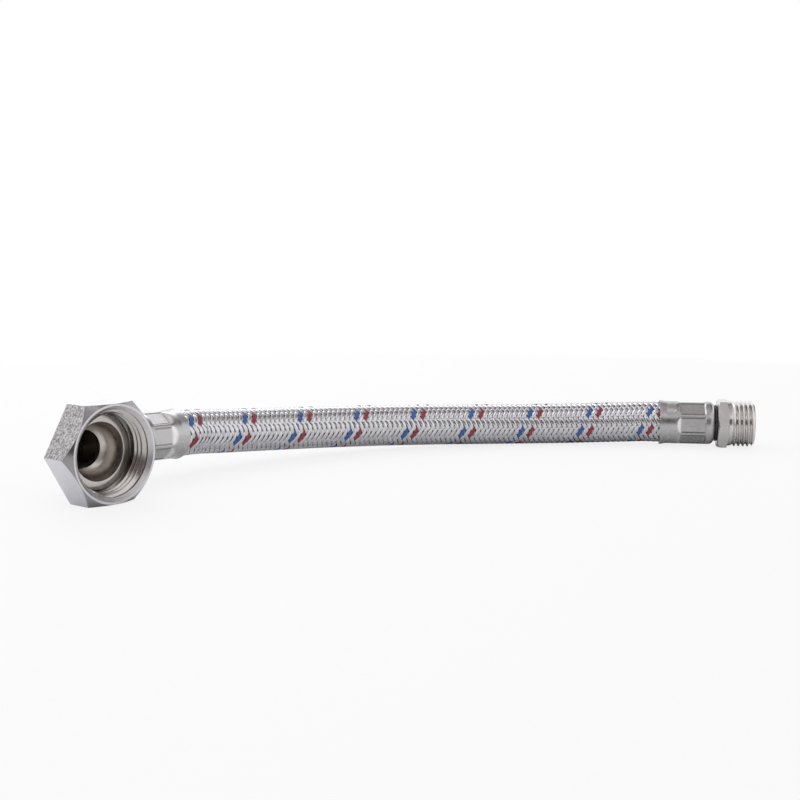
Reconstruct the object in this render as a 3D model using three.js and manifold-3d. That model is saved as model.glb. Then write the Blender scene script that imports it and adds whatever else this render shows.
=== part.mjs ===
// Braided flexible hose: a union nut on a 90 degree elbow at one end, a male thread at the other.
// Millimetres, +Z up. The hose leaves the elbow towards +X and the union nut opens towards -Y.
// It lies at rest on a flat of the nut and on a flat of the hexagon of the male fitting.

import * as THREE from 'three';
import { mergeVertices } from 'three/addons/utils/BufferGeometryUtils.js';
import Module from 'manifold-3d';

const wasm = await Module();
wasm.setup();

// Clearances
const GAP = 0.3; // between pieces that touch
const WELD = 1e-4; // vertices nearer than this are one
const OVERRUN = 1; // how far a cutting solid runs past what it cuts

// Facets
const ROUND = 36; // sides of a turned surface
const THREAD_STEPS = 30; // steps of a thread in one turn
const ELBOW_STEPS = 13;
const HOSE_SIDES = 12;
const HOSE_STEPS = 20;

// Hexagons and threads
const HEXAGON = 6;
const THREAD_FLAT = 0.12; // width of the flat on a crest and in a root, as a share of the pitch

// Union nut, with an inch union thread
const NUT_FLATS = 38;
const NUT_LENGTH = 14.1;
const NUT_BEVEL = 3.2; // length of the bevel that turns the corners into a round rim
const NUT_MAJOR = 33.25;
const NUT_MINOR = 30.29;
const NUT_PITCH = 2.309;
const NUT_RIM = 1.2; // width of the flat rim around the mouth, at the middle of a flat
const NUT_RELIEF = 0.9; // the thread ends this far before the sealing face
const NUT_LIP = 1.8; // thickness of the lip that holds the collar

// Elbow
const COLLAR_THICKNESS = 2.3; // from the sealing face to the lip of the nut
const COLLAR_EDGE = 0.6;
const BOWL_RADIUS = 11.4;
const BOWL_STRAIGHT = 2.5; // straight wall before the bowl turns in
const BOWL_DEPTH = 10; // depth of the ellipsoid that the bowl is a part of
const NECK_WALL = 1.4;
const NECK_LENGTH = 5.5;
const NECK_CONE = 4;
const ELBOW_BORE = 14.8;
const ELBOW_WALL = 2.2;
const ELBOW_REACH = 32; // from the mouth of the nut to the axis of the hose
const BEND_RADIUS = 14;
const SHOULDER_LENGTH = 4.4;
const SHOULDER_RISE = 0.8;
const OUTLET_TILT = THREE.MathUtils.degToRad(1.9); // the hose leaves a little downhill
const LEAD = 59.53; // from the axis of the nut to the mouth of the ferrule

// Ferrules
const FERRULE_LENGTH = 26;
const FERRULE_DIAMETER = 20.5;
const FERRULE_FLARE = 0.5; // how far the mouth opens beyond the body
const FLARE_LENGTH = 3.2;
const FERRULE_EDGE = 1.9; // radius of the closed end
const FERRULE_FLANGE = 1.2;
const SKIRT_DEPTH = 6; // how far the braid runs in
const CRIMPS = 7;
const CRIMP_START = 10.3; // from the mouth
const CRIMP_LENGTH = 11.4;
const CRIMP_SINK = 0.9; // from the body down to the flat
const CRIMP_RIDGE = 0.9; // width of the ridge that is left between two flats
const ELBOW_CRIMP_TURN = THREE.MathUtils.degToRad(-85); // of one flat, from the top
const MALE_CRIMP_TURN = THREE.MathUtils.degToRad(90);

// Hose
const BRAID_DIAMETER = 19.4;
const BRAID_THICKNESS = 0.7;
const LINER_WALL = 2;
const TAIL_WALL = 1.5;
const BARBS = 3;
const BARB_HEIGHT = 0.6;
const TAIL_LENGTH = 19; // from the closed end of the ferrule to the tip of the tail

// Male fitting
const MALE_FLATS = 22;
const HEX_LENGTH = 5.4;
const HEX_BEVEL = 0.9;
const SEAL_THICKNESS = 1.4;
const SEAL_DIAMETER = 17.6;
const BAND_LENGTH = 2.6; // plain band between the hexagon and the thread
const BAND_DIAMETER = 21.4;
const MALE_MAJOR = 22;
const MALE_PITCH = 2.1;
const MALE_THREAD_DEPTH = 1.25;
const MALE_THREAD_LENGTH = 9.5;
const MALE_BEVEL = 1.3;
const MALE_BORE = 14;

// The free stretch of the hose, from the axis of the nut at its mouth, with the floor at 0
const HOSE_POINTS = [
  [74.7, 31.1, 16.2],
  [89.7, 28.9, 15.1],
  [104.6, 25.7, 14.2],
  [119.2, 21.6, 13.4],
  [133.5, 16.5, 12.75],
  [147.5, 10.6, 12.1],
  [161.2, 3.8, 11.55],
  [174.3, -3.8, 11.0],
  [187.0, -12.3, 10.55],
  [199.0, -21.6, 10.15],
  [210.5, -31.6, 9.9],
  [221.3, -42.3, 9.8],
  [231.4, -53.7, 9.9],
  [240.9, -65.6, 10.25],
  [249.6, -78.1, 10.75],
];
const MALE_PLACE = [257.5, -91.1]; // mouth of the ferrule at the male end
const MALE_HEADING = THREE.MathUtils.degToRad(-59.94);
const STRAIGHT_RUN = 8; // the hose stays straight this far out of each ferrule

// Sizes that follow from the ones above

// From the middle of a hexagon to its corners.
function hexagonRadius(flats) {
  return flats / 2 / Math.cos(Math.PI / HEXAGON);
}

const nutCorner = hexagonRadius(NUT_FLATS);
const chamberDepth = NUT_LENGTH - NUT_LIP;
const collarBack = chamberDepth - GAP;
const seatDepth = collarBack - COLLAR_THICKNESS;
const collarRadius = NUT_MINOR / 2 - GAP;
const neckRadius = BOWL_RADIUS + NECK_WALL;
const elbowRadius = ELBOW_BORE / 2 + ELBOW_WALL;
const bendStart = ELBOW_REACH - BEND_RADIUS;
const braidRadius = BRAID_DIAMETER / 2;
const linerRadius = braidRadius - BRAID_THICKNESS - 2 * GAP;
const linerBore = linerRadius - LINER_WALL;
const tailRadius = linerBore - GAP;
const tailBore = tailRadius - BARB_HEIGHT - TAIL_WALL;
const tailNeck = tailRadius + BARB_HEIGHT;
const flangeHole = tailNeck + GAP;
const ferruleRadius = FERRULE_DIAMETER / 2;
const gripRadius = linerRadius + GAP;
const ferruleEnd = LEAD - FERRULE_LENGTH;
const sealStart = FERRULE_LENGTH + GAP;
const hexStart = sealStart + SEAL_THICKNESS + GAP;
const hexCorner = hexagonRadius(MALE_FLATS);
const bandStart = hexStart + HEX_LENGTH;
const threadStart = bandStart + BAND_LENGTH;
const maleEnd = threadStart + MALE_THREAD_LENGTH;

// Solids

function outward(geometry) {
  const place = geometry.attributes.position;
  const index = geometry.index.array;
  const [a, b, c] = [new THREE.Vector3(), new THREE.Vector3(), new THREE.Vector3()];
  let volume = 0;
  for (let i = 0; i < index.length; i += 3) {
    a.fromBufferAttribute(place, index[i]);
    b.fromBufferAttribute(place, index[i + 1]);
    c.fromBufferAttribute(place, index[i + 2]);
    volume += a.dot(b.cross(c));
  }
  if (volume < 0) {
    for (let i = 0; i < index.length; i += 3) {
      [index[i], index[i + 1]] = [index[i + 1], index[i]];
    }
  }
  return geometry;
}

function welded(geometry) {
  const bare = geometry.clone();
  bare.deleteAttribute('normal');
  bare.deleteAttribute('uv');
  const merged = mergeVertices(bare, WELD);
  const kept = [];
  const index = merged.index.array;
  for (let i = 0; i < index.length; i += 3) {
    const [a, b, c] = [index[i], index[i + 1], index[i + 2]];
    if (a !== b && b !== c && c !== a) kept.push(a, b, c);
  }
  merged.setIndex(kept);
  return outward(merged);
}

function solid(geometry) {
  const merged = welded(geometry);
  return new wasm.Manifold(new wasm.Mesh({
    numProp: 3,
    vertProperties: new Float32Array(merged.attributes.position.array),
    triVerts: new Uint32Array(merged.index.array),
  }));
}

function geometryOf(manifold) {
  const mesh = manifold.getMesh();
  const geometry = new THREE.BufferGeometry();
  geometry.setAttribute('position', new THREE.BufferAttribute(mesh.vertProperties, 3));
  geometry.setIndex(new THREE.BufferAttribute(mesh.triVerts, 1));
  geometry.computeVertexNormals();
  return geometry;
}

function union(...parts) {
  return parts.reduce((whole, part) => whole.add(part));
}

// A turned solid around +Y from [radius, place along the axis] pairs.
function turnedGeometry(profile) {
  const points = [...profile, profile[0]].map(([radius, along]) => new THREE.Vector2(radius, along));
  return new THREE.LatheGeometry(points, ROUND);
}

function turned(profile) {
  return solid(turnedGeometry(profile));
}

// The same around +X.
function turnedAlongX(profile) {
  return solid(turnedGeometry(profile).rotateZ(-Math.PI / 2));
}

// A hexagonal bar along +Z with two of its flats facing +Y and -Y.
function hexagonBar(flats, length) {
  const corner = hexagonRadius(flats);
  const outline = new THREE.Shape();
  for (let k = 0; k < HEXAGON; k += 1) {
    const angle = (k * 2 * Math.PI) / HEXAGON;
    const [x, y] = [corner * Math.cos(angle), corner * Math.sin(angle)];
    if (k === 0) outline.moveTo(x, y);
    else outline.lineTo(x, y);
  }
  outline.closePath();
  return new THREE.ExtrudeGeometry(outline, { depth: length, bevelEnabled: false });
}

// A thread's ridge around +Y: its section, in [radius, place along the axis] pairs, wound up a helix.
function helix(section, pitch, start, length) {
  const turns = length / pitch;
  const outline = new THREE.Shape(section.map(([radius, along]) => new THREE.Vector2(radius, along)));
  const steps = Math.ceil(turns * THREAD_STEPS);
  const strip = new THREE.ExtrudeGeometry(outline, { depth: 1, steps, bevelEnabled: false });
  const place = strip.attributes.position;
  for (let i = 0; i < place.count; i += 1) {
    const radius = place.getX(i);
    const wound = place.getZ(i);
    const angle = wound * turns * 2 * Math.PI;
    const along = start + place.getY(i) + wound * length;
    place.setXYZ(i, radius * Math.cos(angle), along, -radius * Math.sin(angle));
  }
  return solid(strip);
}

// The section of a thread's ridge or groove, wide at its foot and narrow at its tip.
function threadSection(foot, tip, pitch) {
  const narrow = (THREAD_FLAT / 2) * pitch;
  const wide = pitch / 2 - narrow;
  return [[foot, -wide], [tip, -narrow], [tip, narrow], [foot, wide]];
}

// Union nut, around +Y with its mouth at 0

function unionNut() {
  const bar = solid(hexagonBar(NUT_FLATS, NUT_LENGTH).rotateX(-Math.PI / 2));
  const bevelled = turned([
    [0, 0],
    [NUT_FLATS / 2, 0],
    [nutCorner, NUT_BEVEL],
    [nutCorner + OVERRUN, NUT_BEVEL],
    [nutCorner + OVERRUN, NUT_LENGTH + OVERRUN],
    [0, NUT_LENGTH + OVERRUN],
  ]);
  const minor = NUT_MINOR / 2;
  const major = NUT_MAJOR / 2;
  const mouth = NUT_FLATS / 2 - NUT_RIM;
  const reliefStart = seatDepth - NUT_RELIEF;
  const cavity = turned([
    [0, -OVERRUN],
    [mouth + OVERRUN, -OVERRUN],
    [minor, mouth - minor],
    [minor, reliefStart],
    [major, reliefStart],
    [major, chamberDepth],
    [neckRadius + GAP, chamberDepth],
    [neckRadius + GAP, NUT_LENGTH + OVERRUN],
    [0, NUT_LENGTH + OVERRUN],
  ]);
  const section = threadSection(minor - GAP, major, NUT_PITCH);
  const groove = helix(section, NUT_PITCH, -NUT_PITCH, NUT_PITCH + reliefStart + NUT_RELIEF / 2);
  return bar.intersect(bevelled).subtract(cavity).subtract(groove);
}

// Elbow, around +Y from the mouth of the nut, then around +X

// The middle of the bent tube, with a straight run of the given length before and after the bend.
class ElbowPath extends THREE.Curve {
  constructor(inlet, outlet) {
    super();
    this.inlet = inlet;
    this.outlet = outlet;
  }

  getPoint(t, target = new THREE.Vector3()) {
    const arc = (BEND_RADIUS * Math.PI) / 2;
    const run = t * (this.inlet + arc + this.outlet) - this.inlet;
    if (run < 0) return target.set(0, bendStart + run, 0);
    if (run > arc) return target.set(BEND_RADIUS + run - arc, ELBOW_REACH, 0);
    const angle = run / BEND_RADIUS;
    const across = BEND_RADIUS * (1 - Math.cos(angle));
    return target.set(across, bendStart + BEND_RADIUS * Math.sin(angle), 0);
  }
}

function bentRod(radius, from, to) {
  const outline = new THREE.Shape();
  outline.absarc(0, 0, radius, 0, 2 * Math.PI);
  return solid(new THREE.ExtrudeGeometry(outline, {
    extrudePath: new ElbowPath(bendStart - from, to - BEND_RADIUS),
    steps: ELBOW_STEPS,
    curveSegments: ROUND / 2,
    bevelEnabled: false,
  }));
}

function bowlProfile() {
  const points = [];
  const rows = 10;
  const lastAngle = Math.asin((ELBOW_BORE / 2 - OVERRUN) / BOWL_RADIUS);
  for (let i = 0; i <= rows; i += 1) {
    const angle = THREE.MathUtils.lerp(Math.PI / 2, lastAngle, i / rows);
    const depth = seatDepth + BOWL_STRAIGHT + BOWL_DEPTH * Math.cos(angle);
    points.push([BOWL_RADIUS * Math.sin(angle), depth]);
  }
  return points;
}

// The barbed tail that the liner is pushed over, from the closed end of the ferrule.
function tailProfile(start) {
  const first = start + FERRULE_FLANGE + GAP;
  const step = (start + TAIL_LENGTH - first) / BARBS;
  const points = [[tailNeck, start], [tailNeck, first - GAP]];
  for (let i = 0; i < BARBS; i += 1) {
    points.push([tailRadius, first + i * step]);
    points.push([tailRadius - BARB_HEIGHT, first + (i + 1) * step]);
  }
  return points;
}

function elbowFitting() {
  const head = turned([
    [0, seatDepth],
    [collarRadius - COLLAR_EDGE, seatDepth],
    [collarRadius, seatDepth + COLLAR_EDGE],
    [collarRadius, collarBack],
    [neckRadius, collarBack],
    [neckRadius, collarBack + NECK_LENGTH],
    [elbowRadius - OVERRUN, collarBack + NECK_LENGTH + NECK_CONE],
    [0, collarBack + NECK_LENGTH + NECK_CONE],
  ]);
  const bore = ELBOW_BORE / 2;
  const bowl = turned([
    [0, seatDepth - OVERRUN],
    [BOWL_RADIUS, seatDepth - OVERRUN],
    ...bowlProfile(),
    [0, seatDepth + BOWL_STRAIGHT + BOWL_DEPTH / 2],
  ]);
  const shoulder = ferruleEnd - GAP;
  const outlet = turnedAlongX([
    [0, shoulder - SHOULDER_LENGTH - 2 * OVERRUN],
    [elbowRadius - OVERRUN, shoulder - SHOULDER_LENGTH - 2 * OVERRUN],
    [elbowRadius + SHOULDER_RISE, shoulder - SHOULDER_LENGTH],
    [elbowRadius + SHOULDER_RISE, shoulder - COLLAR_EDGE],
    [elbowRadius + SHOULDER_RISE - COLLAR_EDGE, shoulder],
    [tailNeck, shoulder],
    ...tailProfile(ferruleEnd),
    [0, ferruleEnd + TAIL_LENGTH],
  ]).translate([0, ELBOW_REACH, 0]);
  const passage = turnedAlongX([
    [0, shoulder - SHOULDER_LENGTH],
    [bore - GAP, shoulder - SHOULDER_LENGTH],
    [tailBore, shoulder],
    [tailBore, LEAD],
    [0, LEAD],
  ]).translate([0, ELBOW_REACH, 0]);
  const outer = bentRod(elbowRadius, collarBack + NECK_LENGTH / 2, shoulder - SHOULDER_LENGTH / 2);
  const inner = bentRod(bore, seatDepth + BOWL_STRAIGHT, shoulder - SHOULDER_LENGTH + OVERRUN);
  return union(head, outer, outlet).subtract(union(bowl, inner, passage));
}

// Ferrule, around +X with its mouth at 0 and its closed end at FERRULE_LENGTH

function crimpBlock(angle) {
  const flat = ferruleRadius - CRIMP_SINK;
  const width = (2 * Math.PI * ferruleRadius) / CRIMPS - CRIMP_RIDGE;
  const block = new THREE.BoxGeometry(CRIMP_LENGTH, width, 2 * CRIMP_SINK);
  block.translate(CRIMP_START + CRIMP_LENGTH / 2, 0, flat + CRIMP_SINK);
  return solid(block.rotateX(angle));
}

function ferrule(turn) {
  const rounded = [];
  const rows = 5;
  for (let i = 0; i <= rows; i += 1) {
    const angle = (i / rows) * (Math.PI / 2);
    rounded.push([
      ferruleRadius - FERRULE_EDGE * (1 - Math.cos(angle)),
      FERRULE_LENGTH - FERRULE_EDGE * (1 - Math.sin(angle)),
    ]);
  }
  const skirt = braidRadius + GAP;
  const sleeve = turnedAlongX([
    [skirt + FERRULE_FLARE, 0],
    [ferruleRadius + FERRULE_FLARE, 0],
    [ferruleRadius, FLARE_LENGTH],
    ...rounded,
    [flangeHole, FERRULE_LENGTH],
    [flangeHole, FERRULE_LENGTH - FERRULE_FLANGE],
    [gripRadius, FERRULE_LENGTH - FERRULE_FLANGE],
    [gripRadius, SKIRT_DEPTH],
    [skirt, SKIRT_DEPTH],
    [skirt, FLARE_LENGTH],
  ]);
  const blocks = [];
  for (let k = 0; k < CRIMPS; k += 1) blocks.push(crimpBlock(turn + (k * 2 * Math.PI) / CRIMPS));
  return sleeve.subtract(union(...blocks));
}

// Male fitting, around +X from the mouth of its ferrule

function sealRing() {
  return turnedAlongX([
    [flangeHole, sealStart],
    [SEAL_DIAMETER / 2, sealStart],
    [SEAL_DIAMETER / 2, sealStart + SEAL_THICKNESS],
    [flangeHole, sealStart + SEAL_THICKNESS],
  ]);
}

function maleFitting() {
  const flats = MALE_FLATS / 2;
  const bar = solid(hexagonBar(MALE_FLATS, HEX_LENGTH).rotateZ(Math.PI / 2).rotateY(Math.PI / 2))
    .translate([hexStart, 0, 0]);
  const bevelled = turnedAlongX([
    [0, hexStart],
    [flats, hexStart],
    [hexCorner, hexStart + HEX_BEVEL],
    [hexCorner, bandStart - HEX_BEVEL],
    [flats, bandStart],
    [0, bandStart],
  ]);
  const root = MALE_MAJOR / 2 - MALE_THREAD_DEPTH;
  const tail = tailProfile(0).map(([radius, along]) => [radius, FERRULE_LENGTH - along]).reverse();
  const core = turnedAlongX([
    [0, FERRULE_LENGTH - TAIL_LENGTH],
    ...tail,
    [tailNeck, hexStart + OVERRUN],
    [BAND_DIAMETER / 2, hexStart + OVERRUN],
    [BAND_DIAMETER / 2, threadStart - MALE_THREAD_DEPTH],
    [root, threadStart],
    [root, maleEnd],
    [0, maleEnd],
  ]);
  const section = threadSection(root - GAP, MALE_MAJOR / 2, MALE_PITCH);
  const ridge = helix(section, MALE_PITCH, 0, MALE_THREAD_LENGTH + MALE_PITCH)
    .rotate([0, 0, -90])
    .translate([threadStart - MALE_PITCH / 2, 0, 0]);
  const envelope = turnedAlongX([
    [0, threadStart - MALE_THREAD_DEPTH],
    [MALE_MAJOR / 2 + GAP, threadStart - MALE_THREAD_DEPTH],
    [MALE_MAJOR / 2 + GAP, maleEnd - MALE_BEVEL - GAP],
    [root, maleEnd],
    [0, maleEnd],
  ]);
  const passage = turnedAlongX([
    [0, FERRULE_LENGTH - TAIL_LENGTH - OVERRUN],
    [tailBore, FERRULE_LENGTH - TAIL_LENGTH - OVERRUN],
    [tailBore, FERRULE_LENGTH],
    [MALE_BORE / 2, bandStart],
    [MALE_BORE / 2, maleEnd + OVERRUN],
    [0, maleEnd + OVERRUN],
  ]);
  return union(bar.intersect(bevelled), core, ridge.intersect(envelope)).subtract(passage);
}

// Hose

const outletMouth = new THREE.Vector3(
  LEAD * Math.cos(OUTLET_TILT),
  ELBOW_REACH,
  NUT_FLATS / 2 - LEAD * Math.sin(OUTLET_TILT),
);
const outletAxis = new THREE.Vector3(Math.cos(OUTLET_TILT), 0, -Math.sin(OUTLET_TILT));
const maleMouth = new THREE.Vector3(...MALE_PLACE, MALE_FLATS / 2);
const maleAxis = new THREE.Vector3(Math.cos(MALE_HEADING), Math.sin(MALE_HEADING), 0);

// The middle of the hose. At each end it runs straight into the ferrule, this far.
function hoseMiddle(run) {
  return new THREE.CatmullRomCurve3([
    outletMouth.clone().addScaledVector(outletAxis, -run),
    outletMouth,
    outletMouth.clone().addScaledVector(outletAxis, STRAIGHT_RUN),
    ...HOSE_POINTS.map((point) => new THREE.Vector3(...point)),
    maleMouth.clone().addScaledVector(maleAxis, -STRAIGHT_RUN),
    maleMouth,
    maleMouth.clone().addScaledVector(maleAxis, run),
  ], false, 'centripetal');
}

function polygon(path, radius) {
  for (let k = 0; k < HOSE_SIDES; k += 1) {
    const angle = (k * 2 * Math.PI) / HOSE_SIDES;
    const [x, y] = [radius * Math.cos(angle), radius * Math.sin(angle)];
    if (k === 0) path.moveTo(x, y);
    else path.lineTo(x, y);
  }
  path.closePath();
  return path;
}

function hoseTube(outer, inner, run) {
  const outline = polygon(new THREE.Shape(), outer);
  outline.holes.push(polygon(new THREE.Path(), inner / Math.cos(Math.PI / HOSE_SIDES)));
  return welded(new THREE.ExtrudeGeometry(outline, {
    extrudePath: hoseMiddle(run),
    steps: HOSE_STEPS,
    bevelEnabled: false,
  }));
}

// Pieces in place

const nickel = { color: 0xc9c5c0, roughness: 0.22, metalness: 1 };
const steel = { color: 0xb9b6b2, roughness: 0.32, metalness: 1 };
const braidedSteel = { color: 0xaeb0b4, roughness: 0.38, metalness: 0.9 };
const rubber = { color: 0x2e2a30, roughness: 0.6, metalness: 0 };

function piece(name, geometry, look) {
  const mesh = new THREE.Mesh(geometry, new THREE.MeshStandardMaterial(look));
  mesh.name = name;
  return mesh;
}

const nut = piece('union_nut', geometryOf(unionNut()), nickel);
nut.position.z = NUT_FLATS / 2;

const elbowEnd = new THREE.Group();
elbowEnd.position.z = NUT_FLATS / 2;
elbowEnd.rotation.y = OUTLET_TILT;
const elbowSleeve = piece('elbow_ferrule', geometryOf(ferrule(ELBOW_CRIMP_TURN)), steel);
elbowSleeve.position.set(LEAD, ELBOW_REACH, 0);
elbowSleeve.rotation.z = Math.PI;
elbowEnd.add(piece('elbow_fitting', geometryOf(elbowFitting()), nickel), elbowSleeve);

const maleGroup = new THREE.Group();
maleGroup.position.copy(maleMouth);
maleGroup.rotation.z = MALE_HEADING;
maleGroup.add(
  piece('male_ferrule', geometryOf(ferrule(MALE_CRIMP_TURN)), steel),
  piece('seal_ring', geometryOf(sealRing()), rubber),
  piece('male_fitting', geometryOf(maleFitting()), nickel),
);

const braidRun = SKIRT_DEPTH - GAP;
const linerRun = FERRULE_LENGTH - FERRULE_FLANGE - GAP;
const braidTube = hoseTube(braidRadius, braidRadius - BRAID_THICKNESS, braidRun);
const braid = piece('hose_braid', braidTube, braidedSteel);
const liner = piece('hose_liner', hoseTube(linerRadius, linerBore, linerRun), rubber);

// The origin lies on the floor, below the middle of the fittings.
const fittings = new THREE.Group();
fittings.add(nut, elbowEnd, maleGroup);
fittings.updateMatrixWorld(true);
const middle = new THREE.Box3().setFromObject(fittings, true).getCenter(new THREE.Vector3());

const hose = new THREE.Group();
hose.add(fittings, braid, liner);
hose.position.set(-middle.x, -middle.y, 0);

export default hose;
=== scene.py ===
import math

import bmesh
import bpy
from mathutils import Matrix, Vector


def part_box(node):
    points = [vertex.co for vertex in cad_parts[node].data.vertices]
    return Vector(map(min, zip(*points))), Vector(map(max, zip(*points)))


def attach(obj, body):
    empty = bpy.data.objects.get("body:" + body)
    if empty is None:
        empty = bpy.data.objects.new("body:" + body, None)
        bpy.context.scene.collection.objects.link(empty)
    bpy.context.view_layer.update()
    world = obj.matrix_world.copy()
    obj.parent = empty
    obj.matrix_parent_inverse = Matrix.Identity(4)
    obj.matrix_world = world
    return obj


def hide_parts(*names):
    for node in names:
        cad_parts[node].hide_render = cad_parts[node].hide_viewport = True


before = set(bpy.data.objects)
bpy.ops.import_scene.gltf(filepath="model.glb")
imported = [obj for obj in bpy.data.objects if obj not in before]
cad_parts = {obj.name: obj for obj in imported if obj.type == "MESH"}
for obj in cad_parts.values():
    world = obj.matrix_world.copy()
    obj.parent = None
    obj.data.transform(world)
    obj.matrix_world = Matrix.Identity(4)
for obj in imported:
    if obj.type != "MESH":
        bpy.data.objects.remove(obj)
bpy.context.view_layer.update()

# Lengths are in millimetres, from the axis of the union nut at its mouth, with the floor at 0.
MM = 0.001
SMALL_EDGE = 0.12
NUT_LOW, NUT_HIGH = (Vector(corner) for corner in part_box("union_nut"))
HOME = Vector(((NUT_LOW.x + NUT_HIGH.x) / 2, NUT_LOW.y, 0))
ASSEMBLY = "hose_assembly"
NUT = "nut"

# Camera
CAMERA_PLACE = (-292.1, -371.4, 96.2)
CAMERA_HEADING = math.radians(38.84)  # from +X towards +Y
CAMERA_DIP = math.radians(7.03)
CAMERA_LENS = 56.25

# Union nut
NUT_FLATS = 38
NUT_LENGTH = 14.1
NUT_BEVEL = 3.2
NUT_RIM = 18.93  # radius of the round rim
NUT_MAJOR = 16.625
NUT_MINOR = 15.145
NUT_PITCH = 2.309
NUT_CREST = 0.9  # depth of the first full crest on the +X side
NUT_MOUTH = 18.1  # radius of the countersink at the face, which goes in at 45 degrees
NUT_BACK_BEVEL = 0.4
NUT_RUN_OUT = math.radians(120)  # the stretch in which the thread ends
COARSE_FLAT = math.radians(-60)  # the flat with the coarse finish
SEAT_DEPTH = 9.7
RELIEF = 8.8
CHAMBER = 12.3

# Elbow
COLLAR_RADIUS = 14.845
COLLAR_THICKNESS = 2.3
BOWL_RADIUS = 11.4
BOWL_STRAIGHT = 2.5
BOWL_DEPTH = 10
NECK_RADIUS = 12.8
NECK_LENGTH = 5.5
NECK_CONE = 4
NECK_SPACE = 0.3  # between the neck and the nut
ELBOW_BORE = 7.4
ELBOW_RADIUS = 9.6
SHOULDER_RADIUS = 10.4
SHOULDER_LENGTH = 4.4
SHOULDER_STEP = 1.5  # length of the slope up to it
ELBOW_REACH = 32
BEND_RADIUS = 14
LEAD = 59.53
OUTLET_TILT = math.radians(1.9)

# Tails, of which only the start is made, because the ferrules hide them
TAIL_RADIUS = 6.8
TAIL_BORE = 4.1
TAIL_START = 3
PIECE_GAP = 0.3

# Ferrules
FERRULE_LENGTH = 26
FERRULE_RADIUS = 10.25
FERRULE_FLARE = 0.5
FLARE_LENGTH = 3.2
FERRULE_EDGE = 2.6
FLANGE_THICKNESS = 1.2
FLANGE_RADIUS = 7.1  # of the hole in the closed end
LINER_SPACE = 8.8  # radius inside the ferrule, around the liner
SKIRT_RADIUS = 10.0
SKIRT_DEPTH = 6
CRIMPS = 7
CRIMP_END = 21.7
CRIMP_SINK = 0.9
CRIMP_STEP = 0.35  # least depth, along the sides
CRIMP_RIDGE = 0.9
CRIMP_WALL = 0.55
CRIMP_ROUNDING = 0.8  # how far the corners of the slope lie behind its middle, as a share of it
ELBOW_SLEEVE_MOUTH = 3.5  # cut back this far inside its solid
ELBOW_SLOPE = (8.9, 13)  # where the slope of a crimp starts and ends
ELBOW_FLAT_TURN = math.radians(-85)
MALE_SLOPE = (7.6, 10.4)
MALE_FLAT_TURN = math.radians(90)

# Male fitting
MALE_FLATS = 22
MALE_RIM = 10.72
HEX_START = 27.2
HEX_LENGTH = 5.2
HEX_BEVEL = 0.9
BAND_RADIUS = 10.7
BAND_SLOPE = 1.25
RING_RADIUS = 8.8
RING_GAP = 0.15
THREAD_START = 35.0
MALE_MAJOR = 11
MALE_START = 10.5  # radius at the start of the thread
MALE_ROOT = 9.75
MALE_PITCH = 2.1
MALE_CREST = 37.2  # place of one crest on the side that faces the camera
MALE_END = 44.6
MALE_BEVEL = 1.3
MALE_BORE = 7

# Hose
HOSE_POINTS = [
    (74.7, 31.1, 16.2),
    (89.7, 28.9, 15.1),
    (104.6, 25.7, 14.2),
    (119.2, 21.6, 13.4),
    (133.5, 16.5, 12.75),
    (147.5, 10.6, 12.1),
    (161.2, 3.8, 11.55),
    (174.3, -3.8, 11.0),
    (187.0, -12.3, 10.55),
    (199.0, -21.6, 10.15),
    (210.5, -31.6, 9.9),
    (221.3, -42.3, 9.8),
    (231.4, -53.7, 9.9),
    (240.9, -65.6, 10.25),
    (249.6, -78.1, 10.75),
]
MALE_PLACE = (257.5, -91.1)
MALE_HEADING = math.radians(-59.94)
STRAIGHT_RUN = 8
BRAID_DIAMETER = 19.4
LINER_RADIUS = 8.65
LINER_WALL = 2

# Braid
CARRIERS = 12  # each way
BRAID_PITCH = 29.88
ROW_ANGLE = math.radians(41)  # one row of tracer floats, up from the side that faces the camera
STATIONS = 3  # per crossing
STATION_ANGLE = math.pi / CARRIERS / STATIONS
RUN_IN_ANGLE = math.radians(67.5)  # the strands start this part of a turn inside the ferrule
HOSE_RUN_IN = BRAID_PITCH * RUN_IN_ANGLE / (2 * math.pi)
STRAND_WIDTH = 1.8
STRAND_THICKNESS = 0.3
STRAND_ROUNDING = 0.2  # how far the top of a strand falls off to its sides
WEAVE_LIFT = 0.21
WEAVE_EDGE = 0.5  # half of the stretch in which a strand changes height, in strands crossed
WIRES = 6
WIRE_CROWN = 0.07

# Light
STUDIO_AIM = (130, -40, 20)
WORLD_LIGHT = 0.68
FLOOR_GLOW = 0.8  # share of the floor near the hose that is plain white, with the rest shaded
SHADED_FLOOR = (0.35, 0.6)  # metres from the hose in which the shading fades out


# Solids


def filleted(points, segments=4):
    """A closed loop of (along, radius[, fillet]) points with its corners rounded."""
    out = []
    count = len(points)
    for i, point in enumerate(points):
        here = Vector(point[:2])
        size = point[2] if len(point) > 2 else 0
        if not size:
            out.append(here)
            continue
        before = (Vector(points[i - 1][:2]) - here).normalized()
        after = (Vector(points[(i + 1) % count][:2]) - here).normalized()
        half = before.angle(after) / 2
        reach = size / math.tan(half)
        centre = here + (before + after).normalized() * (size / math.sin(half))
        first, last = here + before * reach - centre, here + after * reach - centre
        for k in range(segments + 1):
            out.append(centre + first.lerp(last, k / segments).normalized() * size)
    return [(p.x, p.y) for p in out]


def turned(profile, steps):
    """A closed surface turned around X from a loop of (along, radius) points."""
    bm = bmesh.new()
    verts = [bm.verts.new((along, 0, radius)) for along, radius in profile]
    edges = [bm.edges.new((verts[i - 1], verts[i])) for i in range(len(verts))]
    bmesh.ops.spin(
        bm, geom=verts + edges, cent=(0, 0, 0), axis=(1, 0, 0), angle=2 * math.pi,
        steps=steps, use_merge=True,
    )
    bmesh.ops.remove_doubles(bm, verts=bm.verts, dist=1e-4)
    return bm


def radius_of(co):
    return math.hypot(co.y, co.z)


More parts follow.
